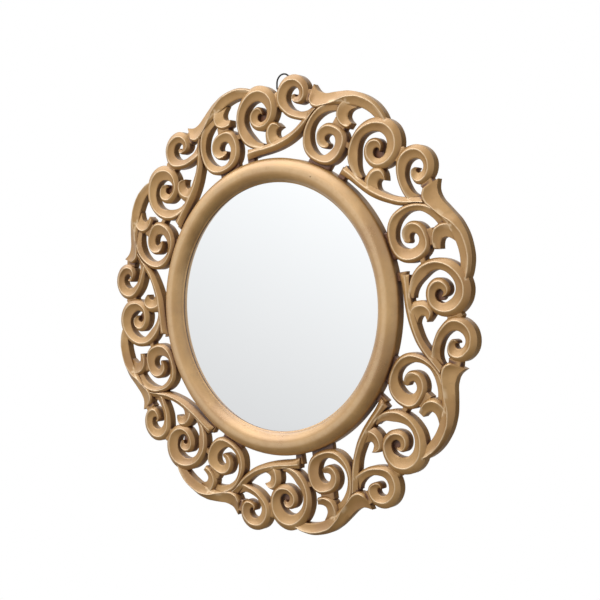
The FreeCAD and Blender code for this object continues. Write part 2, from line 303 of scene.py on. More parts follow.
def strokeArris(outer, inner, spec):
    line = []
    for index, (start, end) in enumerate(zip(outer, inner)):
        across = end - start
        share = index / (len(outer) - 1)
        reach = min(keyed(spec["shoulder"], share), across.length * section["widest"])
        crown = keyed(spec["crown"], share) * section["heightScale"]
        line.append((start + across.normalized() * reach, crown))
    return line


def strokePiece(name, outer, inner, spec):
    v = section
    outer, inner = list(outer), list(inner)
    last = len(outer) - 1
    if "tipBevel" not in spec and "rootBevel" not in spec:
        roundEnd(outer, inner)
    lengths = [0.0]
    for index in range(1, len(outer)):
        step = (outer[index] + inner[index] - outer[index - 1] - inner[index - 1]).length * 0.5
        lengths.append(lengths[-1] + step)
    rows = []
    for index, (start, end) in enumerate(zip(outer, inner)):
        share = min(index / last, 1.0)
        keys = ("shoulder", "crown", "outerDrop", "outerCurve", "innerDrop", "innerCurve")
        values = {key: keyed(spec[key], share) for key in keys}
        width = (end - start).length
        kept = min(index, last)
        shrink = width / (outer[kept] - inner[kept]).length
        for key in ("shoulder", "outerDrop", "innerDrop"):
            values[key] *= shrink
        values["crown"] -= (1 - shrink) * v["tipFall"]
        fall = 0.0
        for key, distance in (("rootBevel", lengths[index]), ("tipBevel", lengths[-1] - lengths[index])):
            if key in spec and distance < spec[key]:
                fall = max(fall, v["bevelFall"] * (1 - distance / spec[key]))
        direction = (end - start).normalized()
        row = []
        for distance, height in sectionRow(width, values):
            place = start + direction * distance
            if height > values["crown"] * v["bevelAbove"]:
                height = min(height, values["crown"] - fall)
            row.append(Vector((place.x, -height * v["heightScale"], place.y)) * mm)
        rows.append(row)
    across = len(rows[0])
    points = [point for row in rows for point in row]
    faces = []
    for index in range(len(rows) - 1):
        for place in range(across):
            after = (place + 1) % across
            faces.append((index * across + place, index * across + after,
                          (index + 1) * across + after, (index + 1) * across + place))
    faces.append(tuple(range(across))[::-1])
    faces.append(tuple(range(len(points) - across, len(points))))
    piece = newPiece(name, points, faces)
    turnOutwards(piece)
    return piece


def prismPiece(name, outline, height, rounding=0.0):
    count = len(outline)
    middle = sum((Vector(point) for point in outline), Vector((0, 0))) / count
    inset = [Vector(point) + (middle - Vector(point)).normalized() * rounding for point in outline]
    points = [Vector((x, 0.0, y)) * mm for x, y in outline]
    points += [Vector((x, -height + rounding * 0.7, y)) * mm for x, y in outline]
    points += [Vector((point.x, -height, point.y)) * mm for point in inset]
    faces = [tuple(range(count)), tuple(range(2 * count, 3 * count))[::-1]]
    for layer in (0, count):
        for index in range(count):
            after = (index + 1) % count
            faces.append((layer + index, layer + after, layer + count + after, layer + count + index))
    piece = newPiece(name, points, faces)
    turnOutwards(piece)
    return piece


def combine(piece, others, operation):
    for other in others:
        modifier = piece.modifiers.new(other.name, "BOOLEAN")
        modifier.operation = operation
        modifier.solver = "EXACT"
        modifier.object = other
        applyAll(piece)
        bpy.data.objects.remove(other)


def turnAbout(piece, clockAngle):
    piece.data.transform(Matrix.Rotation(math.radians(clockAngle), 4, "Y"))


def drawnStrokes():
    strokes = {name: (*scrollSides(spec), spec) for name, spec in scrolls.items()}
    strokes.update({name: (*leafSides(spec), spec) for name, spec in leaves.items()})
    return strokes


def carvedMotif():
    strokes = drawnStrokes()
    pieces = [strokePiece("stroke", *stroke) for stroke in strokes.values()]
    for name, outline in bridges.items():
        height = carving["padHeight"] if name.endswith("ToRing") else carving["bridgeHeight"]
        pieces.append(prismPiece("bridge", outline, height, carving["bridgeRounding"]))
    eyeX, eyeY, reach = carving["eye"]
    angles = [n * math.tau / carving["eyeSides"] for n in range(carving["eyeSides"])]
    floorOutline = [(eyeX + reach * math.cos(angle), eyeY + reach * math.sin(angle)) for angle in angles]
    pieces.append(prismPiece("eyeFloor", floorOutline, carving["eyeFloor"]))
    motif = pieces[0]
    motif.name = "motif"
    combine(motif, pieces[1:], "UNION")
    grow = carving["glueLine"]
    cutters = []
    for name in ("inner", "arch"):
        outer, inner, spec = strokes[name]
        outline = [a + (a - b).normalized() * grow for a, b in zip(outer, inner)]
        outline += [b + (b - a).normalized() * grow for a, b in zip(outer, inner)][::-1]
        cutter = wallCutter(outline)
        turnAbout(cutter, 360.0 / carving["count"])
        cutters.append(cutter)
    ringSpace = rod(carving["ringRadius"] + grow, 2 * carving["cut"], (0, 0, 0), carving["cutSides"])
    combine(motif, cutters + [ringSpace], "DIFFERENCE")
    return motif


def wallCutter(outline):
    depth = carving["cut"] * mm
    count = len(outline)
    points = [Vector((x * mm, side * depth, y * mm)) for side in (-1, 1) for x, y in outline]
    faces = []
    half = count // 2
    for index in range(half - 1):
        a, b = index, index + 1
        c, d = count - 2 - index, count - 1 - index
        faces.append((a, b, c, d))
        faces.append((count + d, count + c, count + b, count + a))
    for index in range(count):
        after = (index + 1) % count
        faces.append((index, count + index, count + after, after))
    piece = newPiece("cutter", points, faces)
    turnOutwards(piece)
    return piece


motif = carvedMotif()
print("carved motif:", len(motif.data.vertices), "points")


# ring, glass and backing

ringValues = {
    "sightRadius": 162.0, "outerRadius": 193.0, "crest": 22.0, "outerSpring": 12.5, "innerSpring": 11.0,
    "lipSlope": 1.5, "rebateDepth": 9.0, "rebateWidth": 8.0, "arcSteps": 26, "spinSteps": 288,
    "backEdge": 0.4, "wave": 0.14, "waveScale": 22.0, "waveHeights": (10, 16),
    "nailAngle": 22.5, "nailRadius": 178.2, "nailHole": 0.75, "nailDepth": 4,
}


def arcThrough(start, crest, end, steps):  # points on the circle through three points
    ax, ay, bx, by, cx, cy = *start, *crest, *end
    d = 2 * (ax * (by - cy) + bx * (cy - ay) + cx * (ay - by))
    a2, b2, c2 = ax * ax + ay * ay, bx * bx + by * by, cx * cx + cy * cy
    mx = (a2 * (by - cy) + b2 * (cy - ay) + c2 * (ay - by)) / d
    my = (a2 * (cx - bx) + b2 * (ax - cx) + c2 * (bx - ax)) / d
    radius = math.hypot(ax - mx, ay - my)
    first = math.atan2(ay - my, ax - mx)
    last = math.atan2(cy - my, cx - mx)
    return [(mx + radius * math.cos(first + (last - first) * n / steps),
             my + radius * math.sin(first + (last - first) * n / steps)) for n in range(steps + 1)]


def spunPiece(name, profile, steps, closed=False, centre=(0.0, 0.0)):  # radius and y, spun about the Y axis
    points = [Vector((radius, y, 0.0)) * mm for radius, y in profile]
    edges = [(n, n + 1) for n in range(len(points) - 1)]
    if closed:
        edges.append((len(points) - 1, 0))
    piece = newPiece(name, points, [], edges)
    openMesh(piece)
    bpy.ops.mesh.spin(steps=steps, angle=math.tau, center=(0, 0, 0), axis=(0, 1, 0))
    bpy.ops.object.mode_set(mode="OBJECT")
    turnOutwards(piece)
    piece.data.transform(Matrix.Translation((centre[0] * mm, 0, centre[1] * mm)))
    return piece


def clockPoint(radius, clockAngle):
    angle = math.radians(clockAngle)
    return radius * math.sin(angle), radius * math.cos(angle)


def ringMoulding():
    v = ringValues
    outer, sight, lip, edge = v["outerRadius"], v["sightRadius"], v["lipSlope"], v["backEdge"]
    outerSpring, innerSpring = v["outerSpring"], v["innerSpring"]
    rebate, depth = sight + v["rebateWidth"], v["rebateDepth"]
    middle = (outer + sight + lip) / 2
    profile = [(outer - edge, 0.0), (outer, -edge)]
    profile += [(outer, -outerSpring * share) for share in (0.35, 0.7)]
    profile += arcThrough((outer, -outerSpring), (middle, -v["crest"]), (sight + lip, -innerSpring),
                          v["arcSteps"])
    profile += [(sight + 0.25, -innerSpring + lip / 2 - 0.1), (sight, -innerSpring + lip / 2 + 0.3),
                (sight, -depth), (rebate, -depth), (rebate, 0.0)]
    ring = spunPiece("ringMoulding", profile, v["spinSteps"], closed=True)
    for vertex in ring.data.vertices:  # turned and sanded by hand, so a little uneven
        free = smoothStep(*v["waveHeights"], -vertex.co.y / mm)
        wave = noise.noise(vertex.co * v["waveScale"]) * v["wave"] * free
        vertex.co.y += max(wave, 0.0) * mm
    x, z = clockPoint(v["nailRadius"], v["nailAngle"])
    combine(ring, [rod(v["nailHole"], v["nailDepth"], (x, -v["crest"], z), 20)], "DIFFERENCE")
    return ring


glassValues = {
    "thickness": 3.0, "rise": 8.0, "discRadius": 169.0, "seat": 0.05, "seam": 0.4,
    "rings": 22, "spinSteps": 256,
}


def mirrorGlass():
    v = glassValues
    radius = (ringValues["sightRadius"] ** 2 + v["rise"] ** 2) / (2 * v["rise"])
    middle = v["seat"] - ringValues["rebateDepth"] - v["rise"] + radius
    reach = v["discRadius"]

    def surface(r, dome):
        return middle - math.sqrt(dome * dome - r * r)

    front = [(reach * n / v["rings"], surface(reach * n / v["rings"], radius)) for n in range(v["rings"])]
    back = [(r, surface(r, radius - v["thickness"])) for r, y in front][::-1]
    edge = [(reach - v["seam"], surface(reach - v["seam"], radius)),
            (reach, surface(reach, radius) + v["seam"]),
            (reach, surface(reach, radius - v["thickness"]) - v["seam"]),
            (reach - v["seam"], surface(reach - v["seam"], radius - v["thickness"]))]
    return spunPiece("mirrorGlass", front + edge + back, v["spinSteps"])


boardValues = {"edge": 0.4, "spinSteps": 192}


def backingBoard():
    low, high = (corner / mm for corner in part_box("backing_board"))
    reach, edge = high.x, boardValues["edge"]
    profile = [(0.0, low.y), (reach * 0.5, low.y), (reach - edge, low.y), (reach, low.y + edge),
               (reach, high.y - edge), (reach - edge, high.y), (reach * 0.5, high.y), (0.0, high.y)]
    return spunPiece("backingBoard", profile, boardValues["spinSteps"])


# fittings on the back

fittings = {
    "pivotRadius": 181.5, "buttonCount": 6, "buttonSeat": 1.6, "buttonSides": 48, "edge": 0.25,
    "screwRadius": 1.6, "screwLength": 11.0, "screwTip": 2.2, "screwSides": 40, "screwSlack": 0.06,
    "headRadius": 3.4, "headHeight": 1.8, "slotWidth": 0.9, "slotDepth": 0.8,
    "strapSeat": 2.0, "strapHoles": (273.5, 261.5), "strapEdge": 0.18,
    "bumperAngles": {"right": 150.0, "left": 210.0}, "bumperSides": 56,
}


def panScrew(name, x, z, seat, slotAngle):
    v = fittings
    length = v["screwLength"]
    top = seat + v["headHeight"]
    head = v["headRadius"]
    profile = [(0.0, top), (head * 0.45, top - 0.06), (head * 0.75, top - 0.3), (head * 0.94, top - 0.75),
               (head, top - 1.3), (head, seat + 0.15), (head - 0.15, seat), (v["screwRadius"], seat),
               (v["screwRadius"], seat - length + v["screwTip"]), (0.0, seat - length)]
    screw = spunPiece(name, profile, v["screwSides"])
    bpy.ops.mesh.primitive_cube_add(size=1, location=(0, (top + 1 - v["slotDepth"]) * mm, 0))
    slot = bpy.context.active_object
    slot.scale = (3 * head * mm, 2 * mm, v["slotWidth"] * mm)
    slot.rotation_euler = (0, math.radians(slotAngle), 0)
    bpy.ops.object.transform_apply()
    combine(screw, [slot], "DIFFERENCE")
    screw.data.transform(Matrix.Translation((x * mm, 0, z * mm)))
    return screw


def joined(name, pieces):
    bpy.ops.object.select_all(action="DESELECT")
    for piece in pieces:
        piece.select_set(True)
    bpy.context.view_layer.objects.active = pieces[0]
    bpy.ops.object.join()
    pieces[0].name = name
    return pieces[0]


def bevelled(piece, width, segments=2, angle=35.0):
    modifier = piece.modifiers.new("edges", "BEVEL")
    modifier.width = width * mm
    modifier.segments = segments
    modifier.limit_method = "ANGLE"
    modifier.angle_limit = math.radians(angle)
    applyAll(piece)
    return piece


def turnButton(number):
    v = fittings
    low, high = (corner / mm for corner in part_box("turn_button_1"))
    half = high.x
    pivot = (0, (high.y + low.y) / 2, high.z - half)
    button = rod(half, high.y - low.y, pivot, v["buttonSides"])
    button.name = f"turnButton{number + 1}"
    reach = (high.z - low.z) - 2 * half
    for vertex in button.data.vertices:  # the lower half of the disc moves down, which leaves a long tongue
        if vertex.co.z < (high.z - half) * mm - 1e-7:
            vertex.co.z -= reach * mm
    combine(button, [rod(v["screwRadius"] + v["screwSlack"], 6, pivot, 32)], "DIFFERENCE")
    bevelled(button, v["edge"])
    turnAbout(button, number * 360.0 / v["buttonCount"])
    return button


def copiedNode(name, node, edge):  # a fitting whose built shape is right, with its edges broken
    piece = placed(name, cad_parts[node].data.copy())
    openMesh(piece)
    bpy.ops.mesh.remove_doubles(threshold=0.002 * mm)
    bpy.ops.mesh.dissolve_limited(angle_limit=math.radians(1.0))
    bpy.ops.object.mode_set(mode="OBJECT")
    piece.data.materials.clear()
    return bevelled(piece, edge)


wireValues = {
    "radius": 1.1, "axisHeight": 282.5, "axisY": 2.16, "halfWidth": 10.9, "leg": 8.6, "corner": 2.5,
    "middle": 6.4,
}


def arcPoints(x, y, radius, first, step, count):  # angles in degrees
    angles = [math.radians(first + step * n) for n in range(count)]
    return [(x + radius * math.cos(angle), y + radius * math.sin(angle)) for angle in angles]


def hangerLoop():  # a bend, the crown and a bend, closed by the straight wire in the strap's eye
    v = wireValues
    corner, half = v["corner"], v["halfWidth"]
    low, high = v["axisHeight"] + corner, v["axisHeight"] + v["leg"]
    path = arcPoints(half - corner, low, corner, 270, 15, 7)
    path += arcPoints(0.0, high, half, 0, 6, 31)
    path += arcPoints(corner - half, low, corner, 180, 15, 7)
    curve = bpy.data.curves.new("hangerLoop", "CURVE")
    curve.dimensions = "3D"
    curve.bevel_depth = v["radius"] * mm
    curve.bevel_resolution = 5
    spline = curve.splines.new("POLY")
    spline.points.add(len(path) - 1)
    for point, (x, z) in zip(spline.points, path):
        point.co = ((v["middle"] + x) * mm, v["axisY"] * mm, z * mm, 1)
    spline.use_cyclic_u = True
    onlyActive(placed("hangerLoop", curve))
    bpy.ops.object.convert(target="MESH")
    loop = bpy.context.active_object
    turnOutwards(loop)
    return loop


def wallBumper(side):
    low, high = (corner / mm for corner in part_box(f"wall_bumper_{side}"))
    radius, top = (high.x - low.x) / 2, high.y
    profile = [(0.0, 0.0), (radius, 0.0), (radius, 0.8), (radius * 0.985, 1.6), (radius * 0.93, top - 1.3),
               (radius * 0.86, top - 0.5), (radius * 0.74, top - 0.1), (radius * 0.5, top),
               (radius * 0.22, top), (radius * 0.16, top - 0.35), (0.0, top - 0.45)]
    centre = clockPoint(fittings["pivotRadius"], fittings["bumperAngles"][side])
    return spunPiece(f"wallBumper{side.capitalize()}", profile, fittings["bumperSides"], centre=centre)


# panels: copies of the motif, each a little different, as carved by hand

handWork = {
    "slow": 26.0, "fast": 95.0, "slowMove": 0.7, "fastMove": 0.28, "fastStart": (7.0, 3.0, 1.0),
    "heightPace": 1.7, "heightMove": 0.5, "heightStart": (0.0, 9.0, 0.0), "fullHeight": 15.0,
    "free": (200.0, 218.0), "rim": (270.0, 292.0),
}


def handCarved(piece):  # seen from the front, nothing moves at the ring or outwards at the rim
    v = handWork
    edge = cadBox[1][0]  # the panels reach as far to every side
    for vertex in piece.data.vertices:
        co = vertex.co
        plan = Vector((co.x, 0.0, co.z))
        radius = plan.length / mm
        slow = noise.noise_vector(plan * v["slow"])
        fast = noise.noise_vector(plan * v["fast"] + Vector(v["fastStart"]))
        move = (slow * v["slowMove"] + fast * v["fastMove"]) * smoothStep(*v["free"], radius)
        outwards = plan.normalized()
        push = move.dot(outwards)
        along = move - outwards * push
        rim = smoothStep(*v["rim"], radius)
        push = push * (1 - rim) + min(push, 0.0) * rim
        share = -co.y / (v["fullHeight"] * mm)
        depth = noise.noise(plan * v["slow"] * v["heightPace"] + Vector(v["heightStart"])) * v["heightMove"]
        co.x = min(max(co.x + (along.x + outwards.x * push) * mm, -edge), edge)
        co.z = min(max(co.z + (along.z + outwards.z * push) * mm, -edge), edge)
        co.y -= depth * share * mm


def carvedPanels():  # board is the place on the blank that the panel was sawn from
    panels = []
    nextBlank = Vector((0.31, 0.0, 0.17))
    for number in range(carving["count"]):
        panel = placed(f"carvedPanel{number + 1}", motif.data.copy())
        board = panel.data.attributes.new("board", "FLOAT_VECTOR", "POINT")
        for vertex in panel.data.vertices:
            board.data[vertex.index].vector = vertex.co + nextBlank * number
        turnAbout(panel, carving["phase"] + number * 360.0 / carving["count"])
        handCarved(panel)
        panels.append(panel)
    return panels


# attributes that the finish follows: ridge on the raised lines, recess where little light and cloth reach,
# which sets where brown wash and painted shade go

finishRays = {
    "count": 20, "reach": 34.0, "lift": 0.08, "fade": 0.6,
    "ridgeWidth": 0.62, "ridgeEnd": 1.15, "ridgeDepth": 0.55, "ridgeFrom": 9.0, "ridgeSearch": 8.0,
}


def markRidges(piece):
    v = finishRays
    ridge = piece.data.attributes.new("ridge", "FLOAT", "POINT")
    lines = [strokeArris(*stroke) for stroke in drawnStrokes().values()]
    segments = [(a[0], b[0], (a[1] + b[1]) / 2) for line in lines for a, b in zip(line, line[1:])]
    for vertex in piece.data.vertices:
        here = Vector((vertex.co.x, vertex.co.z)) / mm
        height = -vertex.co.y / mm
        best = v["ridgeEnd"]
        if height > v["ridgeFrom"]:
            for start, end, crown in segments:
                aside = max(abs(here.x - start.x), abs(here.y - start.y))
                if aside > v["ridgeSearch"] or crown - height > v["ridgeDepth"]:
                    continue
                span = end - start
                share = min(max((here - start).dot(span) / max(span.length_squared, 1e-9), 0.0), 1.0)
                best = min(best, (start + span * share - here).length)
        ridge.data[vertex.index].value = 1.0 - smoothStep(v["ridgeWidth"], v["ridgeEnd"], best)


def rayFan(count):  # even directions over a half sphere about Z, closer round the pole
    golden = math.pi * (3 - math.sqrt(5))
    fan = []
    for index in range(count):
        height = math.sqrt(1 - (index + 0.5) / count)
        flat = math.sqrt(1 - height * height)
        fan.append(Vector((flat * math.cos(golden * index), flat * math.sin(golden * index), height)))
    return fan


def markRecesses(piece, tree):
    v = finishRays
    recess = piece.data.attributes.new("recess", "FLOAT", "POINT")
    fan = rayFan(v["count"])
    reach = v["reach"] * mm
    for vertex in piece.data.vertices:
        normal = vertex.normal
        basis = normal.to_track_quat("Z", "Y")
        start = vertex.co + normal * v["lift"] * mm
        closed = 0.0
        for ray in fan:
            distance = tree.ray_cast(start, basis @ ray, reach)[3]
            if distance is not None:
                closed += 1.0 - v["fade"] * distance / reach
        recess.data[vertex.index].value = closed / v["count"]


def surroundings(pieces):
    points, faces = [], []
    for piece, clockAngle in pieces:
        turn = Matrix.Rotation(math.radians(clockAngle), 4, "Y")
        base = len(points)
        points += [turn @ vertex.co for vertex in piece.data.vertices]
        faces += [[base + index for index in face.vertices] for face in piece.data.polygons]
    return BVHTree.FromPolygons(points, faces)


ring = ringMoulding()
glass = mirrorGlass()
step = 360.0 / carving["count"]
tree = surroundings([(motif, 0.0), (motif, step), (motif, -step), (ring, 0.0), (glass, 0.0)])
markRidges(motif)
markRecesses(motif, tree)
tree = surroundings([(motif, carving["phase"] + step * n) for n in range(carving["count"])]
                    + [(ring, 0.0), (glass, 0.0)])
markRecesses(ring, tree)
print("finish marks made")
panels = carvedPanels()
bpy.data.objects.remove(motif)
board = backingBoard()
buttons = [turnButton(number) for number in range(fittings["buttonCount"])]
buttonScrews = joined("turnButtonScrews", [
    panScrew(f"buttonScrew{n}", *clockPoint(fittings["pivotRadius"], 60.0 * n), fittings["buttonSeat"],
             25.0 + 47.0 * n) for n in range(fittings["buttonCount"])])
strap = copiedNode("hangerStrap", "hanger_strap", fittings["strapEdge"])
strapScrews = joined("hangerStrapScrews", [
    panScrew(f"strapScrew{n}", wireValues["middle"], z, fittings["strapSeat"], 15.0 + 70.0 * n)
    for n, z in enumerate(fittings["strapHoles"])])
loop = hangerLoop()
bumpers = {side: wallBumper(side) for side in ("left", "right")}
print("pieces made")


# small helpers for materials

def feed(tree, node, inputs):  # a socket is linked, any other value is set
    for name, value in inputs.items():
        if isinstance(value, bpy.types.NodeSocket):
            tree.links.new(value, node.inputs[name])
        else:
            node.inputs[name].default_value = value
    return node


def put(tree, kind, inputs=None, **settings):
    node = tree.nodes.new(kind)
    for name, value in settings.items():
        setattr(node, name, value)
    return feed(tree, node, inputs or {})


def maths(tree, operation, first, second=0.0, clamp=False):
    return put(tree, "ShaderNodeMath", {0: first, 1: second}, operation=operation, use_clamp=clamp).outputs[0]


def times(tree, first, second):
    return maths(tree, "MULTIPLY", first, second)


def ranged(tree, value, low, high, lowOut=0.0, highOut=1.0):
    return put(tree, "ShaderNodeMapRange", {"Value": value, "From Min": low, "From Max": high,
                                            "To Min": lowOut, "To Max": highOut},
               interpolation_type="SMOOTHSTEP").outputs[0]


def mixed(tree, share, first, second):
    first, second = (color if isinstance(color, bpy.types.NodeSocket) else (*color, 1.0)
                     for color in (first, second))
    return put(tree, "ShaderNodeMix", {0: share, 6: first, 7: second}, data_type="RGBA").outputs[2]


def noisy(tree, place, scale, detail=4.0, roughness=0.55, stretch=(1.0, 1.0, 1.0)):
    if stretch != (1.0, 1.0, 1.0):
        place = put(tree, "ShaderNodeMapping", {"Vector": place, "Scale": stretch}).outputs[0]
    return put(tree, "ShaderNodeTexNoise", {"Vector": place, "Scale": scale, "Detail": detail,
                                            "Roughness": roughness}).outputs[0]


def readMark(tree, name):
    return put(tree, "ShaderNodeAttribute", attribute_name=name)


def objectPlace(tree):
    return put(tree, "ShaderNodeTexCoord").outputs["Object"]


def newGroup(name, inputs, outputs):
    group = bpy.data.node_groups.new(name, "ShaderNodeTree")
    for direction, sockets in (("INPUT", inputs), ("OUTPUT", outputs)):
        for socket, kind in sockets.items():
            group.interface.new_socket(socket, in_out=direction, socket_type="NodeSocket" + kind)
    return group, group.nodes.new("NodeGroupInput").outputs, group.nodes.new("NodeGroupOutput")


def groupNode(tree, group, inputs):
    return put(tree, "ShaderNodeGroup", inputs, node_tree=group).outputs


def newMaterial(name):
    material = bpy.data.materials.new(name)
    material.use_nodes = True
    tree = material.node_tree
    return material, tree, tree.nodes["Principled BSDF"]


def bumped(tree, height, distance):
    inputs = {"Height": height, "Distance": distance * mm, "Strength": 1.0}
    return put(tree, "ShaderNodeBump", inputs).outputs[0]


# finishes

# The darkest colour below is one dark brown for both the antique wash in the hollows and the painted shade
# there.
goldPaint = {
    "deep": (0.42, 0.218, 0.062), "middle": (0.51, 0.284, 0.086), "pale": (0.62, 0.37, 0.135),
    "cool": (0.44, 0.27, 0.09), "rub": (0.90, 0.66, 0.39), "washAndShade": (0.11, 0.034, 0.007),
    "blotchScale": 16.0, "fleckScale": 150.0, "brushScale": 420.0,
    "middleBlotch": (0.32, 0.55), "paleBlotch": (0.5, 0.72), "coolFleck": (0.52, 0.72), "coolShare": 0.45,
    "rubFleck": (0.3, 0.56, 0.55, 1.0), "washAndShadeNoise": 0.3, "washAndShadeRange": (0.12, 0.72), "washAndShadeDull": 0.2,
    "dullBlotch": (0.3, 0.7), "rubShine": 0.06, "fleckHeight": 0.6, "brushHeight": 0.4,
    "roughness": (0.27, 0.38), "metallic": 0.34, "bump": 0.2,
    "backFrom": -0.1, "backBand": 0.5, "backDull": 0.3, "backGloss": 1.45,
    # The carving gets an even share of the dark brown all over: partly wash, partly painted shade for the
    # shade among its scrolls.
    "carvingEvenWashAndShade": 0.2, "ringEvenWashAndShade": 0.0, "carvingGloss": 1.95, "ringGloss": 2.4,
    "crestFrom": -21.2, "crestTo": -22.0, "crestRub": 0.28, "ringSegments": 8,
}


def agedGoldGroup():  # gold paint rubbed on the ridges, with brown wash and painted shade where the recess mark is high
    v = goldPaint
    group, given, made = newGroup(
        "agedGold", {"Place": "Vector", "Rub": "Float", "Recess": "Float", "EvenWashAndShade": "Float"},
        {"Color": "Color", "Roughness": "Float", "Metallic": "Float", "Height": "Float"})
    place = given["Place"]
    blotch = noisy(group, place, v["blotchScale"], 5.0)
    fleck = noisy(group, place, v["fleckScale"], 6.0, 0.62)
    brush = noisy(group, place, v["brushScale"], 4.0, 0.6)
    tone = mixed(group, ranged(group, blotch, *v["middleBlotch"]), v["deep"], v["middle"])
    tone = mixed(group, ranged(group, blotch, *v["paleBlotch"]), tone, v["pale"])
    coolShare = times(group, ranged(group, fleck, *v["coolFleck"]), v["coolShare"])
    tone = mixed(group, coolShare, tone, v["cool"])
    worn = times(group, given["Rub"], ranged(group, fleck, *v["rubFleck"]))
    tone = mixed(group, worn, tone, v["rub"])
    unsettled = times(group, maths(group, "SUBTRACT", fleck, 0.5), v["washAndShadeNoise"])
    # brown wash and painted shade together, stronger where the recess mark (how enclosed a point is) is high
    washAndShade = ranged(group, maths(group, "ADD", given["Recess"], unsettled), *v["washAndShadeRange"])
    # an even share of the same dark brown over the whole piece, partly wash and partly painted shade
    washAndShade = maths(group, "ADD", washAndShade, given["EvenWashAndShade"], True)
    dull = ranged(group, blotch, *v["dullBlotch"], *v["roughness"])
    dull = maths(group, "ADD", times(group, washAndShade, v["washAndShadeDull"]), dull)
    flecks = times(group, fleck, v["fleckHeight"])
    feed(group, made, {
        "Color": mixed(group, washAndShade, tone, v["washAndShade"]),
        "Roughness": maths(group, "SUBTRACT", dull, times(group, worn, v["rubShine"]), True),
        "Metallic": times(group, maths(group, "SUBTRACT", 1.0, washAndShade), v["metallic"]),
        "Height": maths(group, "ADD", flecks, times(group, brush, v["brushHeight"])),
    })
    return group


rawWood = {
    "light": (0.38, 0.23, 0.115), "dark": (0.17, 0.088, 0.04), "stainScale": 9.0,
    "grainScale": 34.0, "grainStretch": (1.0, 1.0, 9.0), "poreScale": 240.0, "poreStretch": (1.0, 1.0, 14.0),
    "grainRange": (0.34, 0.62), "stainRange": (0.3, 0.7, 0.6, 1.0), "poreRange": (0.58, 0.7),
    "poreShare": 0.6, "poreDepth": 0.4,
}


def woodGrainGroup():
    v = rawWood
    group, given, made = newGroup("woodGrain", {"Place": "Vector"}, {"Color": "Color", "Height": "Float"})
    place = given["Place"]
    grain = noisy(group, place, v["grainScale"], 6.0, 0.6, v["grainStretch"])
    pores = ranged(group, noisy(group, place, v["poreScale"], 3.0, 0.6, v["poreStretch"]), *v["poreRange"])
    stain = ranged(group, noisy(group, place, v["stainScale"], 3.0), *v["stainRange"])
    share = times(group, ranged(group, grain, *v["grainRange"]), stain)
    tone = mixed(group, share, v["dark"], v["light"])
    feed(group, made, {
        "Color": mixed(group, times(group, pores, v["poreShare"]), tone, v["dark"]),
        "Height": maths(group, "SUBTRACT", grain, times(group, pores, v["poreDepth"])),
    })
    return group


wearValues = {"stainScale": 60.0, "stainRange": (0.35, 0.68), "speckRange": (0.56, 0.72)}


def surfaceWearGroup():  # slow stains and fine specks, for the small fittings
    v = wearValues
    group, given, made = newGroup("surfaceWear", {"Place": "Vector", "Scale": "Float"},
                                  {"Stain": "Float", "Speck": "Float", "Height": "Float"})
    stain = noisy(group, given["Place"], v["stainScale"], 4.0)
    speck = noisy(group, given["Place"], given["Scale"], 5.0, 0.65)
    feed(group, made, {"Stain": ranged(group, stain, *v["stainRange"]),
                       "Speck": ranged(group, speck, *v["speckRange"]), "Height": speck})
    return group


agedGold = agedGoldGroup()
woodGrain = woodGrainGroup()
surfaceWear = surfaceWearGroup()


def goldWood(name, rub, grainPlace, evenWashAndShade, gloss):  # gold paint in front, stained wood on the flat back
    v = goldPaint
    material, tree, surface = newMaterial(name)
    place = objectPlace(tree)
    gold = groupNode(tree, agedGold, {"Place": place, "Rub": rub(tree), "EvenWashAndShade": evenWashAndShade,
                                      "Recess": readMark(tree, "recess").outputs["Fac"]})
    wood = groupNode(tree, woodGrain, {"Place": grainPlace(tree)})
    away = put(tree, "ShaderNodeSeparateXYZ", {0: place}).outputs[1]
    back = ranged(tree, away, (v["backFrom"] - v["backBand"]) * mm, v["backFrom"] * mm)
    front = maths(tree, "SUBTRACT", 1.0, back)
    height = maths(tree, "ADD", times(tree, gold["Height"], front),
                   times(tree, wood["Height"], back))
    feed(tree, surface, {
        "Base Color": mixed(tree, back, gold["Color"], wood["Color"]),
        "Roughness": maths(tree, "ADD", gold["Roughness"], times(tree, back, v["backDull"]), True),
        "Metallic": times(tree, gold["Metallic"], front),
        "IOR": ranged(tree, back, 0.0, 1.0, gloss, v["backGloss"]),
        "Normal": bumped(tree, height, v["bump"]),
    })
    return material


def ridgeRub(tree):
    return readMark(tree, "ridge").outputs["Fac"]


def crestRub(tree):  # the crest of the ring is rubbed a little, along its whole length
    away = put(tree, "ShaderNodeSeparateXYZ", {0: objectPlace(tree)}).outputs[1]
    near = ranged(tree, away, goldPaint["crestFrom"] * mm, goldPaint["crestTo"] * mm)
    return times(tree, near, goldPaint["crestRub"])


def panelGrain(tree):
    return readMark(tree, "board").outputs["Vector"]


def ringGrain(tree):  # the ring is glued up from eight segments, so its grain turns at each joint
    place = objectPlace(tree)
    parts = put(tree, "ShaderNodeSeparateXYZ", {0: place}).outputs
    angle = maths(tree, "ARCTAN2", parts[0], parts[2])
    step = math.tau / goldPaint["ringSegments"]
    segment = times(tree, maths(tree, "FLOOR", maths(tree, "DIVIDE", angle, step)), -step)
    return put(tree, "ShaderNodeVectorRotate", {"Vector": place, "Axis": (0, 1, 0), "Angle": segment},
               rotation_type="AXIS_ANGLE").outputs[0]


silverValues = {
    "tints": ((0.945, 0.967, 0.982), (0.958, 0.974, 0.986)), "tintScale": 3.0, "tintRange": (0.35, 0.65),
    "hazeScale": 7.0, "hazeRange": (0.3, 0.75, 0.008, 0.022),
}


def mirrorSilver():
    v = silverValues
    material, tree, surface = newMaterial("silveredGlass")
    place = objectPlace(tree)
    tint = ranged(tree, noisy(tree, place, v["tintScale"], 2.0), *v["tintRange"])
    haze = ranged(tree, noisy(tree, place, v["hazeScale"], 3.0), *v["hazeRange"])
    feed(tree, surface, {"Base Color": mixed(tree, tint, *v["tints"]), "Roughness": haze, "Metallic": 1.0})
    return material


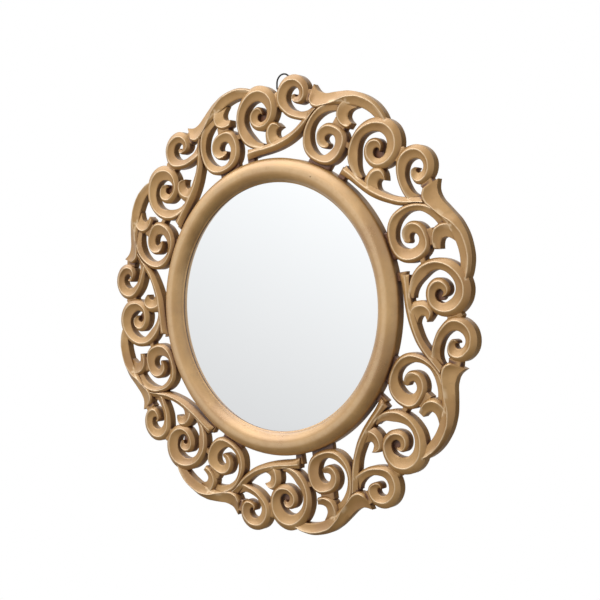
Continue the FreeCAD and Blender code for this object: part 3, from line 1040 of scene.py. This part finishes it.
boardFinish = {
    "fibres": ((0.115, 0.057, 0.025), (0.23, 0.125, 0.06)), "fibreScale": 300.0, "fibreRange": (0.35, 0.65),
    "wearScale": 900.0, "stain": (0.10, 0.055, 0.028), "stainShare": 0.4,
    "speck": (0.34, 0.21, 0.115), "speckShare": 0.6, "roughness": (0.3, 0.7, 0.55, 0.75),
    "meshScale": 105.0, "meshBend": 0.4, "wearHeight": 0.5, "bump": 0.12,
}


def hardboard():
    v = boardFinish
    material, tree, surface = newMaterial("hardboard")
    place = objectPlace(tree)
    wear = groupNode(tree, surfaceWear, {"Place": place, "Scale": v["wearScale"]})
    fibres = noisy(tree, place, v["fibreScale"], 5.0, 0.7)
    tone = mixed(tree, ranged(tree, fibres, *v["fibreRange"]), *v["fibres"])
    tone = mixed(tree, times(tree, wear["Stain"], v["stainShare"]), tone, v["stain"])
    tone = mixed(tree, times(tree, wear["Speck"], v["speckShare"]), tone, v["speck"])
    rows = [put(tree, "ShaderNodeTexWave", {"Vector": place, "Scale": v["meshScale"],
                                            "Distortion": v["meshBend"]},
                bands_direction=axis).outputs["Fac"] for axis in ("X", "Z")]
    height = maths(tree, "ADD", times(tree, *rows),
                   times(tree, wear["Height"], v["wearHeight"]))
    feed(tree, surface, {"Base Color": tone, "Roughness": ranged(tree, fibres, *v["roughness"]),
                         "Normal": bumped(tree, height, v["bump"])})
    return material


wornFinishes = {  # the wire gets lighter, metallic specks along the top of its crown, a painted highlight; the others wear all over
    "zincSteel": {
        "scale": 700.0, "tones": ((0.62, 0.625, 0.62), (0.50, 0.485, 0.44)), "speck": (0.30, 0.27, 0.22),
        "speckShare": 0.6, "roughness": (0.28, 0.42), "metallic": 1.0, "specular": 0.5, "bump": 0.03,
    },
    "blackWire": {
        "scale": 600.0, "tones": ((0.012, 0.011, 0.010), (0.028, 0.025, 0.022)), "speck": (0.30, 0.29, 0.27),
        "crown": (0.300, 0.303), "roughness": (0.3, 0.46), "metallic": 0.9, "specular": 0.25, "bump": 0.03,
    },
    "bumperRubber": {
        "scale": 800.0, "tones": ((0.022, 0.020, 0.018), (0.05, 0.045, 0.04)), "speck": (0.11, 0.10, 0.09),
        "speckShare": 0.4, "roughness": (0.62, 0.8), "metallic": 0.0, "specular": 0.5, "bump": 0.05,
    },
}


def wornMaterial(name):
    v = wornFinishes[name]
    material, tree, surface = newMaterial(name)
    place = objectPlace(tree)
    wear = groupNode(tree, surfaceWear, {"Place": place, "Scale": v["scale"]})
    if "crown" in v:
        # for the wire: the light specks and metal show only along the top of the crown, a painted highlight
        up = put(tree, "ShaderNodeSeparateXYZ", {0: place}).outputs[2]
        speck = times(tree, ranged(tree, up, *v["crown"]), wear["Speck"])
        metallic = times(tree, speck, v["metallic"])
    else:
        speck = times(tree, wear["Speck"], v["speckShare"])
        metallic = v["metallic"]
    feed(tree, surface, {
        "Base Color": mixed(tree, speck, mixed(tree, wear["Stain"], *v["tones"]), v["speck"]),
        "Roughness": ranged(tree, wear["Stain"], 0.0, 1.0, *v["roughness"]),
        "Metallic": metallic, "Specular IOR Level": v["specular"],
        "Normal": bumped(tree, wear["Height"], v["bump"]),
    })
    return material


def finished(piece, material, smoothAngle, body, slot, *nodes):
    piece.data.materials.clear()
    piece.data.materials.append(material)
    onlyActive(piece)
    bpy.ops.object.shade_smooth_by_angle(angle=math.radians(smoothAngle))
    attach(piece, body)
    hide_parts(*nodes)


carvingGold = goldWood("carvingGold", ridgeRub, panelGrain, goldPaint["carvingEvenWashAndShade"],
                       goldPaint["carvingGloss"])
ringGold = goldWood("ringGold", crestRub, ringGrain, goldPaint["ringEvenWashAndShade"], goldPaint["ringGloss"])
steel = wornMaterial("zincSteel")
for number, panel in enumerate(panels):
    finished(panel, carvingGold, 38.0, "frame", "gilded_wood", f"carved_panel_{number + 1}")
finished(ring, ringGold, 38.0, "frame", "gilded_wood", "ring_moulding")
finished(glass, mirrorSilver(), 30.0, "frame", "mirror_glass", "mirror_glass")
finished(board, hardboard(), 30.0, "frame", "backing_board", "backing_board")
for number, button in enumerate(buttons):
    finished(button, steel, 40.0, f"turn_button_{number + 1}", "zinc_steel", f"turn_button_{number + 1}")
finished(buttonScrews, steel, 32.0, "frame", "zinc_steel", "turn_button_screws")
finished(strap, steel, 32.0, "frame", "zinc_steel", "hanger_strap")
finished(strapScrews, steel, 32.0, "frame", "zinc_steel", "hanger_strap_screws")
finished(loop, wornMaterial("blackWire"), 60.0, "hanger_loop", "black_wire", "hanger_ring")
rubber = wornMaterial("bumperRubber")
for side, bumper in bumpers.items():
    finished(bumper, rubber, 40.0, "frame", "bumper_rubber", f"wall_bumper_{side}")
print("finishes on")


# camera, light and floor

view = {
    "from": (0.8882, -1.0993, 0.0535), "at": (0.0, -0.0075, 0.0), "lens": 64.86, "shift": (0.0417, 0.0117),
}
light = {
    "keyFrom": (-0.15, -0.86, 0.49), "keyAway": 2.4, "keySize": 1.1, "keyWatts": 36.0,
    "ambient": (0.44, 0.425, 0.40), "skyBase": 1.03, "skyAcross": 0.215, "skyUp": 0.49, "skyBehind": 0.06,
    "skyRight": 0.55, "skyUnder": 0.3, "windowFrom": (-0.5, -0.25, 0.8), "windowLight": 1.7,
    "rightRange": (-0.38, 0.15), "underRange": (-0.65, -0.27), "windowRange": (0.72, 0.93),
    "behindRange": (-0.1, 0.6), "leftRange": (0.35, 0.05), "skyLeftBehind": 0.8,
    "floorHeight": -0.36, "floorSize": 6.0, "floorTone": 0.82,
}


def aimed(thing, place, target):
    thing.location = place
    thing.rotation_euler = (Vector(target) - Vector(place)).to_track_quat("-Z", "Y").to_euler()


camera = placed("camera", bpy.data.cameras.new("camera"))
camera.data.lens = view["lens"]
camera.data.sensor_width = 36.0
camera.data.shift_x, camera.data.shift_y = view["shift"]
aimed(camera, view["from"], view["at"])
bpy.context.scene.camera = camera

key = placed("keyLight", bpy.data.lights.new("keyLight", "AREA"))
key.data.shape = "DISK"
key.data.size = light["keySize"]
key.data.energy = light["keyWatts"]
key.visible_glossy = False  # the glass would show the lamp as a bright disc
aimed(key, Vector(light["keyFrom"]).normalized() * light["keyAway"], (0, 0, 0))


def lightPathShare(tree, *rays):  # 1 for a ray of one of these kinds
    path = put(tree, "ShaderNodeLightPath").outputs
    share = path[rays[0]]
    for ray in rays[1:]:
        share = maths(tree, "ADD", share, path[ray], True)
    return share


def studioWorld():
    v = light
    world = bpy.data.worlds.new("studio")
    bpy.context.scene.world = world
    world.use_nodes = True
    tree = world.node_tree
    background = tree.nodes["Background"]
    direction = put(tree, "ShaderNodeTexCoord").outputs["Generated"]
    parts = put(tree, "ShaderNodeSeparateXYZ", {0: direction}).outputs
    sky = maths(tree, "ADD", times(tree, parts[0], v["skyAcross"]), v["skyBase"])
    sky = maths(tree, "ADD", sky, times(tree, parts[2], v["skyUp"]))
    sky = times(tree, sky, ranged(tree, parts[0], *v["rightRange"], 1.0, v["skyRight"]))
    sky = times(tree, sky, ranged(tree, parts[2], *v["underRange"], v["skyUnder"], 1.0))
    towards = put(tree, "ShaderNodeVectorMath", {0: direction, 1: Vector(v["windowFrom"]).normalized()},
                  operation="DOT_PRODUCT").outputs["Value"]
    window = times(tree, ranged(tree, towards, *v["windowRange"]), v["windowLight"])
    sky = maths(tree, "ADD", sky, window)
    behind = ranged(tree, parts[1], *v["behindRange"], 1.0, v["skyBehind"])  # dark only behind on the right
    left = ranged(tree, parts[0], *v["leftRange"], 0.0, v["skyLeftBehind"])
    sky = times(tree, sky, maths(tree, "MAXIMUM", behind, left))
    shown = mixed(tree, lightPathShare(tree, "Is Glossy Ray", "Is Transmission Ray"), v["ambient"], sky)
    shown = mixed(tree, lightPathShare(tree, "Is Camera Ray"), shown, (1.0, 1.0, 1.0))
    tree.links.new(shown, background.inputs["Color"])
    background.inputs["Strength"].default_value = 1.0


def paleFloor():
    v = light
    bpy.ops.mesh.primitive_plane_add(size=v["floorSize"], location=(0, 0, v["floorHeight"]))
    floor = bpy.context.active_object
    floor.name = "floor"
    material, tree, surface = newMaterial("floorWhite")
    feed(tree, surface, {"Base Color": (*[v["floorTone"]] * 3, 1.0), "Roughness": 0.9})
    white = put(tree, "ShaderNodeEmission", {"Color": (1, 1, 1, 1), "Strength": 1.0}).outputs[0]
    share = lightPathShare(tree, "Is Camera Ray")
    blend = put(tree, "ShaderNodeMixShader", {0: share, 1: surface.outputs[0], 2: white}).outputs[0]
    tree.links.new(blend, tree.nodes["Material Output"].inputs["Surface"])
    floor.data.materials.append(material)
    floor.visible_glossy = False  # the glass shows the sky alone, with no line where the floor ends
    floor.visible_diffuse = False


studioWorld()
paleFloor()
bpy.context.scene.view_settings.view_transform = "Standard"
print("camera and light set")
